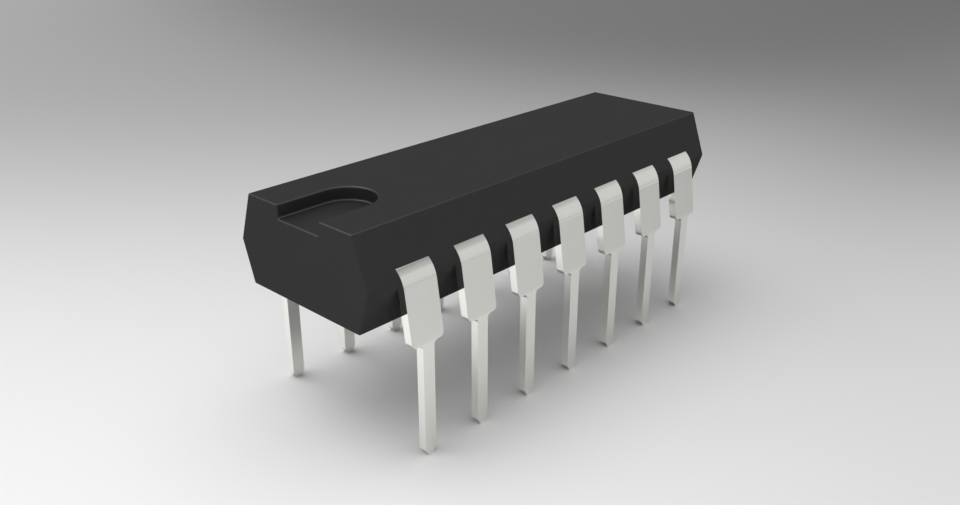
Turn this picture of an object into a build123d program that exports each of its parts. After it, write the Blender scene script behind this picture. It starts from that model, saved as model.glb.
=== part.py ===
from build123d import *
import os
from math import copysign, radians, tan

# Fourteen-lead buffer chip in a dual in-line package, in millimetres.
# X runs along the two rows of leads, with the notched end at -X.
# Z is up from the plane that the lead tips stand on, midway between the rows.

# Lead pattern
leads_per_row = 7
pitch = 2.54
span = 7.64  # over the outer faces of the two rows of legs

# Moulded body
body_length = 19.21
body_width = 6.6  # at the parting line, where the two mould halves met
top_width = 5.31
underside_width = 5.6
stand_off = 4.9  # lead tips to underside
lower_half = 1.57  # underside to parting line
upper_half = 1.79  # parting line to top
edge_radius = 0.08

# Index notch, open at the -X end
notch_width = 2.16
notch_length = 3.04
notch_depth = 0.5
notch_corner = 0.08

# Leads, formed from one stamped strip
lead_thickness = 0.303
lead_wide = 1.404
lead_narrow = 0.496
bend_radius = 1.026  # outer face of the bend
splay = 8.4  # degrees that the wide part leans outwards
kink_height = 4.265  # where the lead turns upright, at the foot of the wide part
kink_radius = 0.45
shoulder_radius = 0.19
neck_radius = 0.16
tip_width = 0.2
tip_height = 0.227
frame_height = 7.095  # top face of the leadframe above the lead tips

# Inner fingers of the leadframe
root_reach = 1.9  # middle of the body to the inner end of the wide root
lock_hole = 0.4  # square, and filled by the moulding, so that the lead can't pull out
lock_setback = 0.3  # hole centre from the end of the root
finger_width = 0.36
finger_pitch = 1.25
finger_gap = 0.25  # in plan from the pad's edge to a finger's end
row_clearance = 0.2  # a finger that runs along the row from the roots beside it
end_finger_offset = 0.6  # end fingers from the middle of the pad's end

# Die pad with its two tie bars
pad_length = 5.4
pad_width = 2.0
pad_downset = 0.5
tie_width = 0.4
tie_setback = 0.3  # from the end faces, so that no metal shows there
downset_run = 0.7

# Die, its adhesive and its wires
attach_thickness = 0.03
attach_margin = 0.06
die_length = 1.5
die_width = 1.1
die_thickness = 0.28
bond_pitch = 0.3
bond_inset = 0.1
end_bond_offset = 0.2
wire_diameter = 0.03
wire_flats = 8  # round the wire, in place of a true circle, to keep the fourteen wires light
ball_diameter = 0.09
ball_flats = 6  # round a ball or a stitch, for the same reason
ball_height = 0.02
stitch_inset = 0.15  # from a finger's end
stitch_height = 0.012
stitch_tail = 0.09  # length of wire that lies flat on a finger
loop_height = 0.3  # above the die
loop_shoulder = 0.08  # size of the slanting run from a wire's upright foot to the top of its loop

parting_height = stand_off + lower_half
top_height = parting_height + upper_half
pad_top = frame_height - pad_downset
die_floor = pad_top + attach_thickness
die_top = die_floor + die_thickness
last_step = (leads_per_row - 1) / 2

os.makedirs("parts", exist_ok=True)


def finish(name, part):
    """Labels one piece and writes it."""
    part.label = name
    export_step(part, f"parts/{name}.step")


def place(number):
    """Step along the row from its middle, and side of the body, of a lead."""
    if number <= leads_per_row:
        return number - 1 - last_step, -1
    return 2 * leads_per_row - number - last_step, 1


def finger_route(step, side):
    """Centre line of a lead's inner finger in plan, from its root to its end beside the pad."""
    root = Vector(step * pitch, side * (root_reach + lock_setback / 2))
    knee = Vector(step * pitch, side * (root_reach - row_clearance))
    if abs(step) == last_step:
        return [root, knee, Vector(copysign(pad_length / 2 + finger_gap, step), side * end_finger_offset)]
    end = Vector(step * finger_pitch, side * (pad_width / 2 + finger_gap))
    return [root, knee, end] if abs(step) == last_step - 1 else [root, end]


def make_lead(number):
    """One lead: its formed strip, its stamped outline, and the finger that runs in to the die."""
    step, side = place(number)
    x = step * pitch
    side_view = Plane(origin=(x, 0, 0), x_dir=(0, side, 0), z_dir=(side, 0, 0))
    front_view = Plane(origin=(x, 0, 0), x_dir=(1, 0, 0), z_dir=(0, -1, 0))
    bend_corner = span / 2 - (frame_height - kink_height) * tan(radians(splay))
    with BuildPart() as lead:
        with BuildSketch(side_view):
            with BuildLine():
                outer_face = FilletPolyline(
                    (root_reach, frame_height),
                    (bend_corner, frame_height),
                    (span / 2, kink_height),
                    (span / 2, 0),
                    radius=[bend_radius, kink_radius],
                )
                offset(outer_face, amount=lead_thickness, side=Side.RIGHT, closed=True)
            make_face()
        extrude(amount=lead_wide / 2, both=True)
        with BuildSketch(front_view):
            with BuildLine():
                FilletPolyline(
                    (0, 0),
                    (tip_width / 2, 0),
                    (lead_narrow / 2, tip_height),
                    (lead_narrow / 2, kink_height),
                    (lead_wide / 2, kink_height),
                    (lead_wide / 2, top_height),
                    (0, top_height),
                    radius=[0, 0, neck_radius, shoulder_radius, 0],
                )
                mirror(about=Plane.YZ)
            make_face()
        extrude(amount=span, both=True, mode=Mode.INTERSECT)
        with BuildSketch(Plane.XY.offset(frame_height)):
            with BuildLine():
                Polyline(finger_route(step, side))
            trace(line_width=finger_width)
        extrude(amount=-lead_thickness)
        with BuildSketch(Plane.XY.offset(frame_height)):
            with Locations((x, side * (root_reach + lock_setback))):
                Rectangle(lock_hole, lock_hole)
        extrude(amount=-lead_thickness, mode=Mode.SUBTRACT)
    return lead


def make_wire(number):
    """One bond wire: ball on the die, arched wire, and the flat stitch on a finger."""
    step, side = place(number)
    start = Vector(step * bond_pitch, side * (die_width / 2 - bond_inset))
    if abs(step) == last_step:
        start = Vector(copysign(die_length / 2 - bond_inset, step), side * end_bond_offset)
    *_, knee, end = finger_route(step, side)
    end += (knee - end).normalized() * stitch_inset
    run = end - start
    loop_top = die_top + loop_height
    wire_rest = frame_height + wire_diameter / 2
    foot = Plane(origin=start, x_dir=run, z_dir=(0, 0, 1))
    with BuildPart() as wire:
        with BuildLine(Plane(origin=start, x_dir=run, z_dir=run.cross(Vector(0, 0, 1)))):
            Polyline(
                (0, die_top),
                (0, loop_top - loop_shoulder),
                (loop_shoulder, loop_top),
                (run.length - stitch_tail, wire_rest),
                (run.length, wire_rest),
            )
        with BuildSketch(foot.offset(die_top)):
            RegularPolygon(wire_diameter / 2, wire_flats, major_radius=False, rotation=180 / wire_flats)
        sweep(transition=Transition.RIGHT)
        with BuildSketch(foot.offset(die_top)):
            RegularPolygon(ball_diameter / 2, ball_flats)
        extrude(amount=ball_height)
        with BuildSketch(foot.offset(frame_height)):
            with Locations((run.length, 0)):
                RegularPolygon(ball_diameter / 2, ball_flats)
        extrude(amount=stitch_height)
    return wire


# Leads 1 to 7 run along -Y from the notched end, and 8 to 14 back along +Y
leads = {number: make_lead(number) for number in range(1, 2 * leads_per_row + 1)}
wires = {number: make_wire(number) for number in leads}

# Pad that carries the die, lowered below the fingers, and the bars that held it in the strip
with BuildPart() as die_pad:
    with BuildSketch(Plane.XY.offset(pad_top)):
        Rectangle(pad_length, pad_width)
    extrude(amount=-lead_thickness)
    with BuildSketch(Plane.XZ):
        with BuildLine():
            tie_top = Polyline(
                (pad_length / 2, pad_top),
                (pad_length / 2 + finger_gap, pad_top),
                (pad_length / 2 + finger_gap + downset_run, frame_height),
                (body_length / 2 - tie_setback, frame_height),
            )
            offset(tie_top, amount=lead_thickness, side=Side.RIGHT, closed=True)
        make_face()
        mirror(about=Plane.YZ)
    extrude(amount=tie_width / 2, both=True)

with BuildPart() as die_attach:
    with BuildSketch(Plane.XY.offset(pad_top)):
        Rectangle(die_length + 2 * attach_margin, die_width + 2 * attach_margin)
    extrude(amount=attach_thickness)

with BuildPart() as die:
    with BuildSketch(Plane.XY.offset(die_floor)):
        Rectangle(die_length, die_width)
    extrude(amount=die_thickness)

# One moulding, with straight ends and sides that taper up and down from the parting line
with BuildPart() as moulded_body:
    with BuildSketch(Plane.YZ):
        with BuildLine():
            Polyline(
                (0, stand_off),
                (underside_width / 2, stand_off),
                (body_width / 2, parting_height),
                (top_width / 2, top_height),
                (0, top_height),
            )
            mirror(about=Plane.YZ)
        make_face()
    extrude(amount=body_length / 2, both=True)
    with BuildSketch(Plane.XY.offset(top_height)):
        with Locations((-body_length / 2 + notch_length - notch_width / 2, 0)):
            Circle(notch_width / 2)
            Rectangle(body_length, notch_width, align=(Align.MAX, Align.CENTER))
    extrude(amount=-notch_depth, mode=Mode.SUBTRACT)
    notch_floor = top_height - notch_depth
    floor_rim = moulded_body.edges().filter_by_position(Axis.Z, notch_floor, notch_floor)
    fillet(floor_rim.sort_by(Axis.X)[1:], notch_corner)
    fillet(moulded_body.edges(), edge_radius)
    for piece in [*leads.values(), *wires.values(), die_pad, die_attach, die]:
        add(piece.part, mode=Mode.SUBTRACT)

finish("moulded_body", moulded_body.part)
for number, lead in leads.items():
    finish(f"lead_{number}", lead.part)
    finish(f"bond_wire_{number}", wires[number].part)
finish("die_pad", die_pad.part)
finish("die_attach", die_attach.part)
finish("die", die.part)
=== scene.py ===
from math import radians

import bpy
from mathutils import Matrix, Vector

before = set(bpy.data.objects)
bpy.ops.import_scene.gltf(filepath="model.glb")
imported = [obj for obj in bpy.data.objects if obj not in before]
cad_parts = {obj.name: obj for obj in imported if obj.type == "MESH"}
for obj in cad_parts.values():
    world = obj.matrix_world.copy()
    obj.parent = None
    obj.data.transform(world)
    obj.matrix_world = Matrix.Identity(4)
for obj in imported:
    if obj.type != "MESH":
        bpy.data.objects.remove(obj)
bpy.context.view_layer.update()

MM = 0.001

# The photograph's camera, solved with the sizes of the chip
CAMERA_PLACE = (-25.4735 * MM, -22.8300 * MM, 18.7548 * MM)
CAMERA_PITCH = 23.546  # degrees down from level
CAMERA_YAW = 43.194  # degrees from +X towards +Y
CAMERA_LENS = 34.780
SENSOR_WIDTH = 36.0
NEAREST_SEEN = 1 * MM
FARTHEST_SEEN = 10.0

# Floor, with painted shade in soft-edged discs, which fades to a darker grey between two distances from its
# middle
FLOOR_REACH = 1.2
FLOOR_COLOUR = 0.87
FAR_COLOUR = 0.59
FLOOR_FADE = (150 * MM, 330 * MM)
# Painted shade: each disc darkens the floor's colour, softly towards its edge
PAINTED_SHADES = [
    {"middle": (92.7 * MM, 120.8 * MM), "radius": 143.3 * MM, "depth": 0.62},
    {"middle": (137.9 * MM, 47.9 * MM), "radius": 106.8 * MM, "depth": 0.18},
    {"middle": (32.4 * MM, -54.8 * MM), "radius": 56.6 * MM, "depth": 0.21},
    {"middle": (330.0 * MM, -480.0 * MM), "radius": 472.0 * MM, "depth": 0.35},
]
SHADE_EDGE = 12.0  # a higher value makes the edge of a shade sharper

# Room: brightness by height, of walls that fade upwards to a bright ceiling
ROOM_LEVELS = [(0.0, 0.72), (0.2, 0.775), (0.45, 0.775), (0.62, 0.56), (0.74, 0.40), (0.78, 1.35)]

# Black moulding
RESIN_DARK = 0.018
RESIN_LIGHT = 0.026
RESIN_GRAIN = 0.05 * MM
RESIN_CLOUD = 1.4 * MM
SPARK_DEPTH = 0.004 * MM
FILLER_SHOWN = 0.018  # share of the surface that glints
EDGE_PAINTED_HIGHLIGHT = 1.3  # how much larger that share gets on slanted faces such as the edge fillets, a painted highlight
PAINTED_HIGHLIGHT_SLANT = (0.5, 0.9)  # from where the painted highlight starts to where it is full

# Plated metal
ROLLED_FACE = 0.87
# Level of faces whose normal runs along X: a painted highlight on the lead sides
PAINTED_SIDE_LEVEL = 1.03
# Painted shade: the upper part of the leads is darker, from between two heights upwards
UPPER_PAINTED_SHADE = 0.08
PAINTED_SHADE_HEIGHT = (4.2 * MM, 4.4 * MM)
# Painted shade: undersides such as the tip chamfers are darker
UNDERSIDE_PAINTED_SHADE = 0.45
UNDERSIDE_FACING = (-0.6, -0.3)  # upward part of the normal, from undersides to other faces
PLATE_MOTTLE = 0.06
PLATE_GRAIN = 0.04 * MM
PLATE_CLOUD = 0.7 * MM
PLATE_RELIEF = 0.002 * MM
ROLLING_LINE = 0.03 * MM
ROLLING_STRETCH = (1.0, 14.0, 14.0)
TIN_TINT = (1.0, 1.0, 0.95)
SILVER_TINT = (1.0, 0.97, 0.92)
GOLD_TINT = (1.0, 0.72, 0.30)

# Adhesive and die
FLAKE_SIZE = 0.012 * MM
FLAKE_DARK = 0.32
FLAKE_LIGHT = 0.62
CIRCUIT_BLOCK = 0.12 * MM
CIRCUIT_DARK = (0.05, 0.055, 0.09, 1.0)
CIRCUIT_LIGHT = (0.16, 0.14, 0.20, 1.0)

# Soft lamp, behind the chip and to the left
LAMP_PLACE = (-180 * MM, 260 * MM, 520 * MM)
LAMP_SIZE = 480 * MM
LAMP_POWER = 1.65


def grey(level):
    return (level, level, level, 1.0)


class Socket:
    """A node's output that Python's operators work on, each adding the Math node that it names."""

    def __init__(self, tree, output):
        self.tree = tree
        self.output = output

    def math(self, operation, *inputs):
        settings = {"operation": operation}
        return self.tree.node("ShaderNodeMath", settings, dict(enumerate(inputs)))["Value"]

    def __add__(self, other):
        return self.math("ADD", self, other)

    def __radd__(self, other):
        return self.math("ADD", other, self)

    def __sub__(self, other):
        return self.math("SUBTRACT", self, other)

    def __rsub__(self, other):
        return self.math("SUBTRACT", other, self)

    def __mul__(self, other):
        return self.math("MULTIPLY", self, other)

    def __rmul__(self, other):
        return self.math("MULTIPLY", other, self)

    def __truediv__(self, other):
        return self.math("DIVIDE", self, other)

    def __rtruediv__(self, other):
        return self.math("DIVIDE", other, self)

    def __pow__(self, other):
        return self.math("POWER", self, other)


class Outputs:
    """A node's outputs, by name."""

    def __init__(self, tree, node):
        self.tree = tree
        self.node = node

    def __getitem__(self, name):
        return Socket(self.tree, self.node.outputs[name])


class Tree:
    """A node tree that starts empty."""

    def __init__(self, owner):
        owner.use_nodes = True
        self.nodes = owner.node_tree.nodes
        self.links = owner.node_tree.links
        self.nodes.clear()

    def node(self, kind, settings=None, inputs=None):
        """Adds one node: its settings first, then a value or a link for each input."""
        node = self.nodes.new(kind)
        for name, value in (settings or {}).items():
            if name == "stops":
                self.set_stops(node.color_ramp, value)
            else:
                setattr(node, name, value)
        for name, value in (inputs or {}).items():
            if isinstance(value, Socket):
                self.links.new(value.output, node.inputs[name])
            else:
                node.inputs[name].default_value = value
        return Outputs(self, node)

    def set_stops(self, ramp, stops):
        """Gives a colour ramp its stops, as pairs of a place and a grey level, with soft runs between."""
        ramp.interpolation = "EASE"
        while len(ramp.elements) < len(stops):
            ramp.elements.new(1.0)
        for element, (place, level) in zip(ramp.elements, stops):
            element.position = place
            element.color = grey(level)


def new_material(name):
    material = bpy.data.materials.new(name)
    return material, Tree(material)


def noise(tree, point, grain, detail, stretch=(1.0, 1.0, 1.0)):
    """Even noise with grains of about the size given, longer along an axis where stretch is above 1."""
    scale = tuple(1.0 / (grain * times) for times in stretch)
    mapped = tree.node("ShaderNodeMapping", None, {"Vector": point, "Scale": scale})["Vector"]
    return tree.node("ShaderNodeTexNoise", None, {"Vector": mapped, "Scale": 1.0, "Detail": detail})["Fac"]


def object_point(tree):
    return tree.node("ShaderNodeTexCoord")["Object"]


def mixed(tree, factor, first, second):
    """A colour between two, by a factor."""
    inputs = {"Factor": factor, 6: first, 7: second}
    return tree.node("ShaderNodeMix", {"data_type": "RGBA"}, inputs)[2]


def eased(tree, value, places, levels):
    """Runs smoothly from the first level to the second as a value goes from the first place to the second."""
    return tree.node("ShaderNodeMapRange", {"interpolation_type": "SMOOTHSTEP"}, {
        "Value": value,
        "From Min": places[0],
        "From Max": places[1],
        "To Min": levels[0],
        "To Max": levels[1],
    })["Result"]


def parts_of(tree, vector):
    """A vector's X, Y and Z."""
    return tree.node("ShaderNodeSeparateXYZ", None, {"Vector": vector})


def facing(tree):
    """The X, Y and Z of a surface's normal, in the chip's own axes."""
    return parts_of(tree, tree.node("ShaderNodeTexCoord")["Normal"])


def surface(tree, shader):
    tree.node("ShaderNodeOutputMaterial", None, {"Surface": shader})


def moulding_finish():
    """Matt black moulding compound with a fine spark-eroded bump, bright filler that shows in places, and a
    painted highlight where more of it glints on slanted faces such as the edge fillets.
    """
    material, tree = new_material("black_moulding")
    point = object_point(tree)
    grain = noise(tree, point, RESIN_GRAIN, detail=3.0)
    cloud = noise(tree, point, RESIN_CLOUD, detail=2.0)
    colour = mixed(tree, 0.7 * grain + 0.3 * cloud, grey(RESIN_DARK), grey(RESIN_LIGHT))
    bump = tree.node("ShaderNodeBump", None, {"Strength": 0.25, "Distance": SPARK_DEPTH, "Height": grain})
    resin = tree.node("ShaderNodeBsdfPrincipled", None, {
        "Base Color": colour,
        "Roughness": 0.7,
        "Specular IOR Level": 0.0,
        "Normal": bump["Normal"],
    })
    filler = tree.node("ShaderNodeBsdfPrincipled", None, {
        "Base Color": grey(1.0),
        "Metallic": 1.0,
        "Roughness": 0.30 + 0.10 * cloud,
        "Normal": bump["Normal"],
    })
    # Slant is 0 on level and upright faces, and 1 midway between them
    upward = facing(tree)["Z"] ** 2
    slant = 4.0 * upward * (1.0 - upward)
    # Painted highlight: slanted faces, such as the edge fillets, glint more
    painted_edge_highlight = eased(tree, slant, PAINTED_HIGHLIGHT_SLANT, (0.0, EDGE_PAINTED_HIGHLIGHT))
    share = FILLER_SHOWN * (0.8 + 0.4 * grain) * (1.0 + painted_edge_highlight)
    shader = tree.node("ShaderNodeMixShader", None, {0: share, 1: resin["BSDF"], 2: filler["BSDF"]})
    surface(tree, shader["Shader"])
    return material


def plate_finish(name, tint, dullness):
    """Bright plated strip with rolling lines on its faces, and painted light: a painted highlight on the side
    faces, painted shade on the upper part, and dark painted shade on the undersides.
    """
    material, tree = new_material(name)
    point = object_point(tree)
    grain = noise(tree, point, PLATE_GRAIN, detail=3.0)
    lines = noise(tree, point, ROLLING_LINE, detail=2.0, stretch=ROLLING_STRETCH)
    cloud = noise(tree, point, PLATE_CLOUD, detail=2.0)
    normal = facing(tree)
    # Painted highlight: faces whose normal runs along X are made brighter
    painted_side_highlight = normal["X"] ** 2
    # Painted shade: faces that face down, such as the tip chamfers, are made darker
    underside_shade = eased(tree, normal["Z"], UNDERSIDE_FACING, (UNDERSIDE_PAINTED_SHADE, 0.0))
    # Painted shade: darker above the given heights
    painted_face_level = ROLLED_FACE - eased(tree, parts_of(tree, point)["Z"], PAINTED_SHADE_HEIGHT, (0.0, UPPER_PAINTED_SHADE))
    painted_level = painted_face_level + (PAINTED_SIDE_LEVEL - painted_face_level) * painted_side_highlight
    level = (1.0 - underside_shade) * painted_level - PLATE_MOTTLE * (0.5 * lines + 0.5 * cloud)
    colour = tree.node("ShaderNodeVectorMath", {"operation": "SCALE"}, {0: tint, "Scale": level})["Vector"]
    relief = 0.6 * lines + 0.4 * grain
    bump = tree.node("ShaderNodeBump", None, {"Strength": 0.12, "Distance": PLATE_RELIEF, "Height": relief})
    shader = tree.node("ShaderNodeBsdfPrincipled", None, {
        "Base Color": colour,
        "Metallic": 1.0,
        "Roughness": dullness + 0.06 * cloud,
        "Normal": bump["Normal"],
    })
    surface(tree, shader["BSDF"])
    return material


def adhesive_finish():
    """Cured die adhesive, grey with silver flakes."""
    material, tree = new_material("die_adhesive")
    point = object_point(tree)
    flakes = noise(tree, point, FLAKE_SIZE, detail=2.0)
    colour = mixed(tree, flakes, grey(FLAKE_DARK), grey(FLAKE_LIGHT))
    shader = tree.node("ShaderNodeBsdfPrincipled", None, {
        "Base Color": colour,
        "Roughness": 0.4 + 0.2 * flakes,
    })
    surface(tree, shader["BSDF"])
    return material


def silicon_finish():
    """Polished silicon with faint blocks of circuit in its top layers."""
    material, tree = new_material("silicon_die")
    point = object_point(tree)
    pattern = {"Vector": point, "Scale": 1.0 / CIRCUIT_BLOCK}
    blocks = tree.node("ShaderNodeTexVoronoi", {"distance": "CHEBYCHEV"}, pattern)["Distance"]
    colour = mixed(tree, blocks, CIRCUIT_DARK, CIRCUIT_LIGHT)
    shader = tree.node("ShaderNodeBsdfPrincipled", None, {
        "Base Color": colour,
        "Roughness": 0.12 + 0.1 * blocks,
    })
    surface(tree, shader["BSDF"])
    return material


def floor_finish():
    """Pale floor with painted shade in broad soft-edged discs, that fades to one grey far off."""
    material, tree = new_material("pale_floor")
    point = object_point(tree)
    light = 1.0
    # Painted shade: each soft-edged disc darkens the floor's colour
    for shade in PAINTED_SHADES:
        ends = {0: point, 1: (*shade["middle"], 0.0)}
        away = tree.node("ShaderNodeVectorMath", {"operation": "DISTANCE"}, ends)["Value"] / shade["radius"]
        light = light - shade["depth"] / (1.0 + away ** SHADE_EDGE)
    near = FLOOR_COLOUR * light
    distance = tree.node("ShaderNodeVectorMath", {"operation": "LENGTH"}, {0: point})["Value"]
    level = near + eased(tree, distance, FLOOR_FADE, (0.0, 1.0)) * (FAR_COLOUR - near)
    colour = tree.node("ShaderNodeCombineColor", None, {"Red": level, "Green": level, "Blue": level})["Color"]
    shader = tree.node("ShaderNodeBsdfDiffuse", None, {"Color": colour})
    surface(tree, shader["BSDF"])
    return material


def make_floor():
    """Level floor under the lead tips."""
    corners = [(FLOOR_REACH * x, FLOOR_REACH * y, 0) for x, y in ((-1, -1), (1, -1), (1, 1), (-1, 1))]
    mesh = bpy.data.meshes.new("floor")
    mesh.from_pydata(corners, [], [(0, 1, 2, 3)])
    floor = bpy.data.objects.new("floor", mesh)
    bpy.context.scene.collection.objects.link(floor)
    mesh.materials.append(floor_finish())


def make_room():
    """Soft light from walls and ceiling."""
    world = bpy.data.worlds.new("room")
    bpy.context.scene.world = world
    tree = Tree(world)
    height = parts_of(tree, tree.node("ShaderNodeTexCoord")["Generated"])["Z"]
    light = tree.node("ShaderNodeValToRGB", {"stops": ROOM_LEVELS}, {"Fac": height})["Color"]
    background = tree.node("ShaderNodeBackground", None, {"Color": grey(1.0), "Strength": light})
    tree.node("ShaderNodeOutputWorld", None, {"Surface": background["Background"]})


def make_lamp():
    """Large soft lamp that aims at the chip and gives the shadow its side."""
    lamp = bpy.data.lights.new("soft_lamp", "AREA")
    lamp.shape = "SQUARE"
    lamp.size = LAMP_SIZE
    lamp.energy = LAMP_POWER
    holder = bpy.data.objects.new("soft_lamp", lamp)
    bpy.context.scene.collection.objects.link(holder)
    holder.location = LAMP_PLACE
    holder.rotation_mode = "QUATERNION"
    holder.rotation_quaternion = (-Vector(LAMP_PLACE)).to_track_quat("-Z", "Y")


def make_camera():
    """The photograph's camera."""
    lens = bpy.data.cameras.new("camera")
    lens.lens = CAMERA_LENS
    lens.sensor_width = SENSOR_WIDTH
    lens.clip_start = NEAREST_SEEN
    lens.clip_end = FARTHEST_SEEN
    camera = bpy.data.objects.new("camera", lens)
    bpy.context.scene.collection.objects.link(camera)
    camera.location = CAMERA_PLACE
    camera.rotation_euler = (radians(90 - CAMERA_PITCH), 0.0, radians(CAMERA_YAW - 90))
    bpy.context.scene.camera = camera


def dress():
    """Gives each carried-over node its finish."""
    tin = plate_finish("tin_plate", TIN_TINT, dullness=0.03)
    silver = plate_finish("silver_plate", SILVER_TINT, dullness=0.15)
    gold = plate_finish("gold", GOLD_TINT, dullness=0.1)
    finishes = {
        "moulded_body": moulding_finish(),
        "die_pad": silver,
        "die_attach": adhesive_finish(),
        "die": silicon_finish(),
    }
    for name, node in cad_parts.items():
        finish = finishes.get(name, gold if name.startswith("bond_wire") else tin)
        node.data.materials.clear()
        node.data.materials.append(finish)


make_camera()
make_room()
make_floor()
make_lamp()
dress()
bpy.context.scene.view_settings.view_transform = "Standard"
